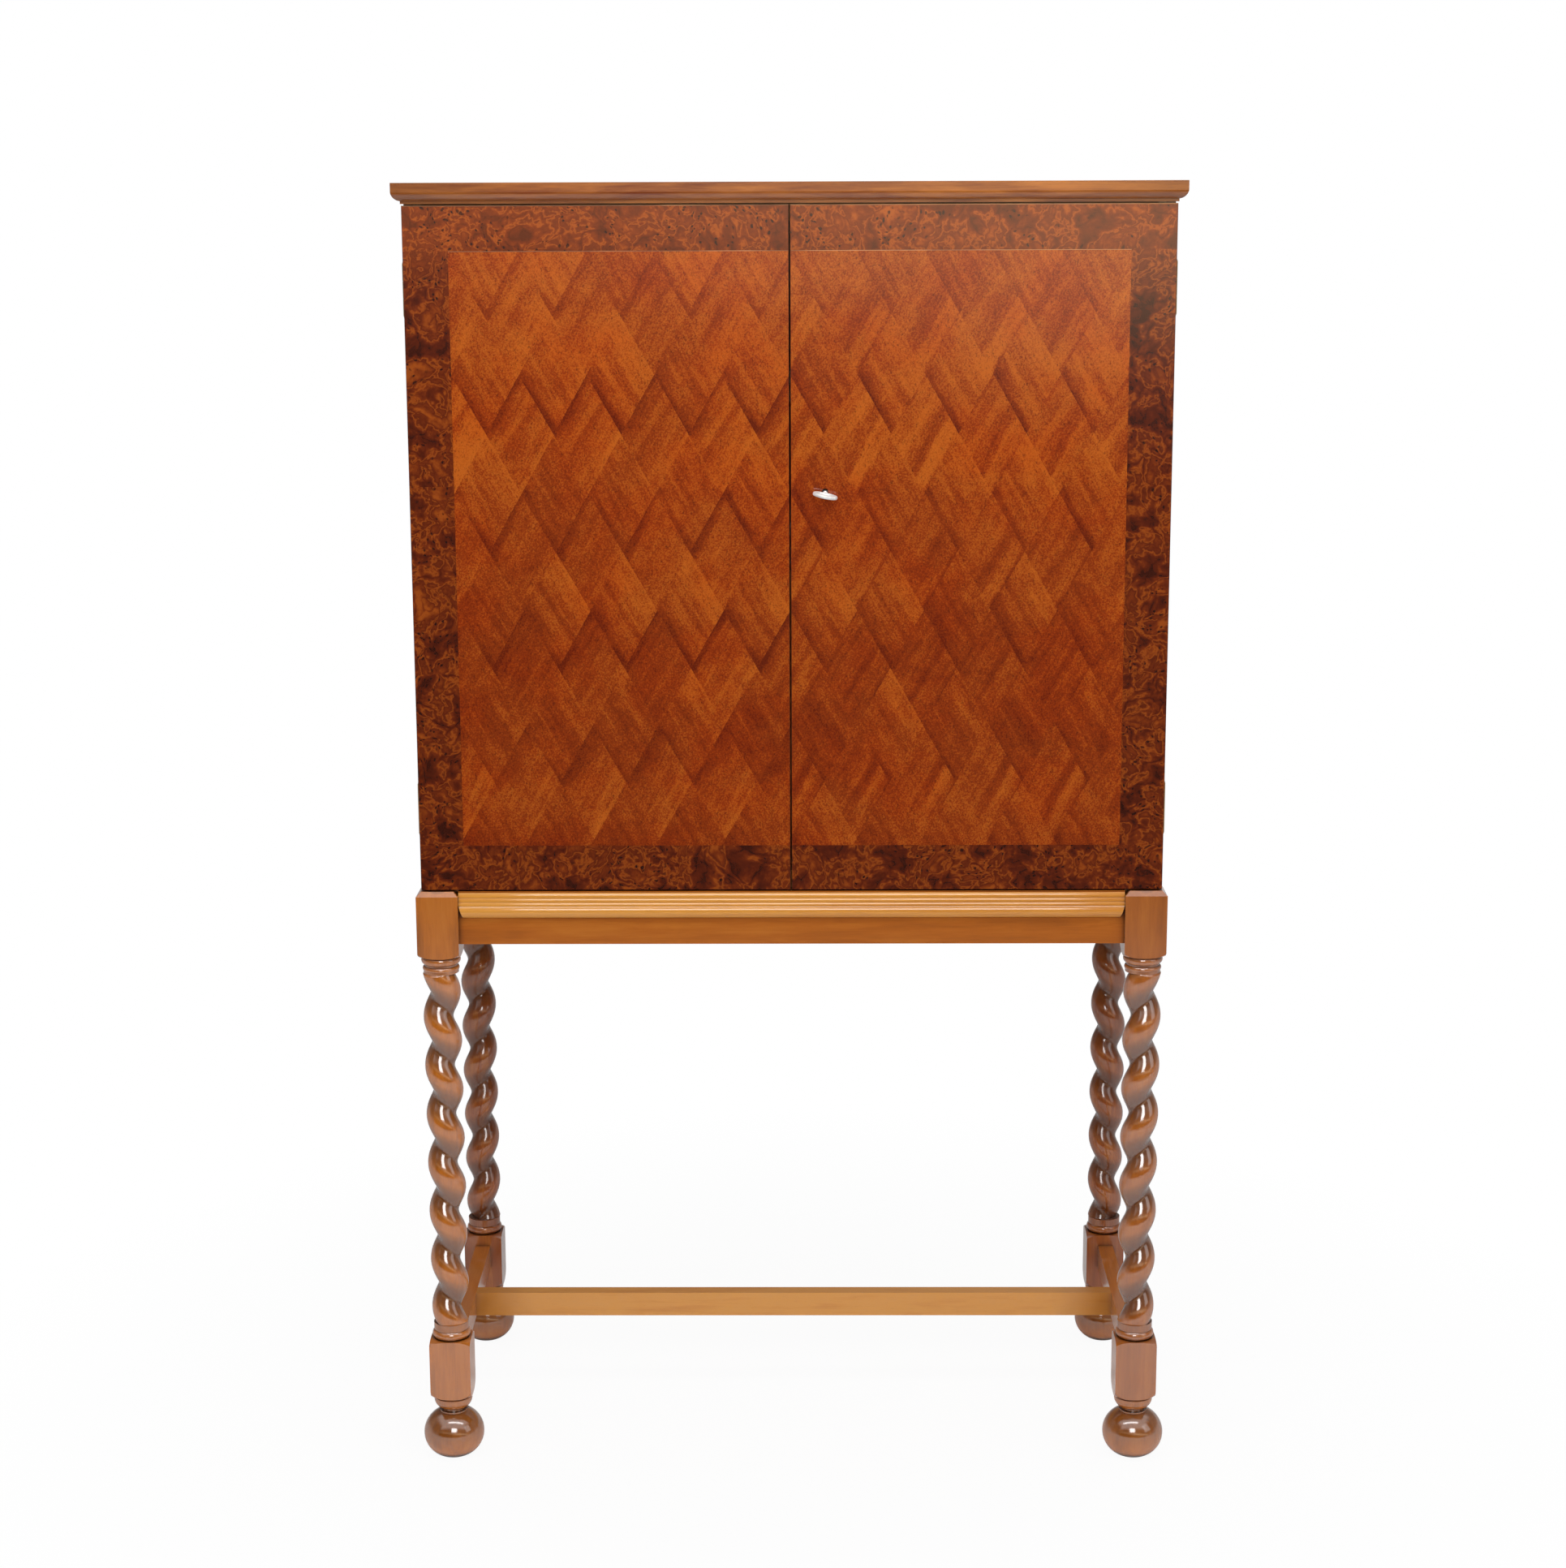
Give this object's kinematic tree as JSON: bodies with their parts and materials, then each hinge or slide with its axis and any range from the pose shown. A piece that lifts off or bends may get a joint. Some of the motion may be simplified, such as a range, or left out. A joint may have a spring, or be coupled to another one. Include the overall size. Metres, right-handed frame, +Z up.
{
  "type": "bar cabinet",
  "caption": "Two-door bar cabinet with parquetry veneered doors, a moulded top and a key, on a stand of barley twist legs with bun feet and an H stretcher.",
  "frame": {"origin": "on the floor, under the middle of the whole box that holds the cabinet, its feet and its key", "axes": "+X to the viewer's right, +Y to the back, -Y is the front with the doors, +Z up"},
  "size_m": [0.9194, 0.4583, 1.55],
  "materials": {
    "top_wood": "gloss lacquered mahogany",
    "case_wood": "gloss lacquered mahogany",
    "door_core": "satin lacquered mahogany",
    "door_veneer": "gloss lacquered burl and lozenge parquetry",
    "stand_wood": "gloss stained hardwood",
    "inner_wood": "satin",
    "glass": "clear",
    "mirror": "silvered",
    "brass": "satin",
    "steel": "plain",
    "key_plating": "polished nickel plate"
  },
  "bodies": {
    "cabinet": {"apron_back": "stand_wood", "apron_front": "stand_wood", "apron_left": "stand_wood", "apron_right": "stand_wood", "back_panel": "inner_wood", "batten_left": "inner_wood", "batten_right": "inner_wood", "bun_foot_back_left": "stand_wood", "bun_foot_back_right": "stand_wood", "bun_foot_front_left": "stand_wood", "bun_foot_front_right": "stand_wood", "case_bottom": "inner_wood", "case_side_left": "case_wood", "case_side_right": "case_wood", "case_top": "inner_wood", "fixed_shelf": "inner_wood", "frame_screws": "steel", "glass_shelf": "glass", "hinge_left_lower_case_leaf": "brass", "hinge_left_upper_case_leaf": "brass", "hinge_pins_left": "brass", "hinge_pins_right": "brass", "hinge_right_lower_case_leaf": "brass", "hinge_right_upper_case_leaf": "brass", "hinge_screws_case": "brass", "keeper_bottom": "brass", "keeper_top": "brass", "leg_back_left": "stand_wood", "leg_back_right": "stand_wood", "leg_front_left": "stand_wood", "leg_front_right": "stand_wood", "low_shelf": "inner_wood", "mirror": "mirror", "moulding_front": "stand_wood", "moulding_left": "stand_wood", "moulding_right": "stand_wood", "partition": "inner_wood", "shelf_pins": "brass", "stretcher_cross": "stand_wood", "stretcher_left": "stand_wood", "stretcher_right": "stand_wood", "top_board": "top_wood"},
    "left_door": {"door_left": "door_core", "door_left_veneer": "door_veneer", "strike_plate": "brass", "bolt_plate_top": "brass", "bolt_plate_bottom": "brass", "hinge_left_upper_door_leaf": "brass", "hinge_left_lower_door_leaf": "brass", "hinge_screws_door_left": "brass"},
    "right_door": {"door_right": "door_core", "door_right_veneer": "door_veneer", "lock_case": "steel", "hinge_right_upper_door_leaf": "brass", "hinge_right_lower_door_leaf": "brass", "hinge_screws_door_right": "brass"},
    "key": {"key": "key_plating"},
    "lock_bolt": {"lock_bolt": "brass"},
    "top_bolt": {"bolt_rod_top": "brass"},
    "bottom_bolt": {"bolt_rod_bottom": "brass"}
  },
  "joints": [
    {"name": "left_door_hinge", "type": "hinge", "parent": "cabinet", "child": "left_door", "pos_m": [-0.442, -0.17415, 1.1246], "axis": [0, 0, -1], "range_deg": [0, 165]},
    {"name": "right_door_hinge", "type": "hinge", "parent": "cabinet", "child": "right_door", "pos_m": [0.442, -0.17415, 1.1246], "axis": [0, 0, 1], "range_deg": [0, 165]},
    {"name": "key_turn", "type": "hinge", "parent": "right_door", "child": "key", "pos_m": [0.0405, -0.18465, 1.1982], "axis": [0, -0.9976, -0.0698], "range_deg": [0, 204]},
    {"name": "lock_bolt_slide", "type": "slide", "parent": "right_door", "child": "lock_bolt", "axis": [-1, 0, 0], "range_m": [0, 0.008]},
    {"name": "top_bolt_slide", "type": "slide", "parent": "left_door", "child": "top_bolt", "axis": [0, 0, 1], "range_m": [0, 0.012]},
    {"name": "bottom_bolt_slide", "type": "slide", "parent": "left_door", "child": "bottom_bolt", "axis": [0, 0, -1], "range_m": [0, 0.012]}
  ],
  "couplings": [
    {"joint": "key_turn", "follows": "lock_bolt_slide", "rad_per_m": 445}
  ]
}
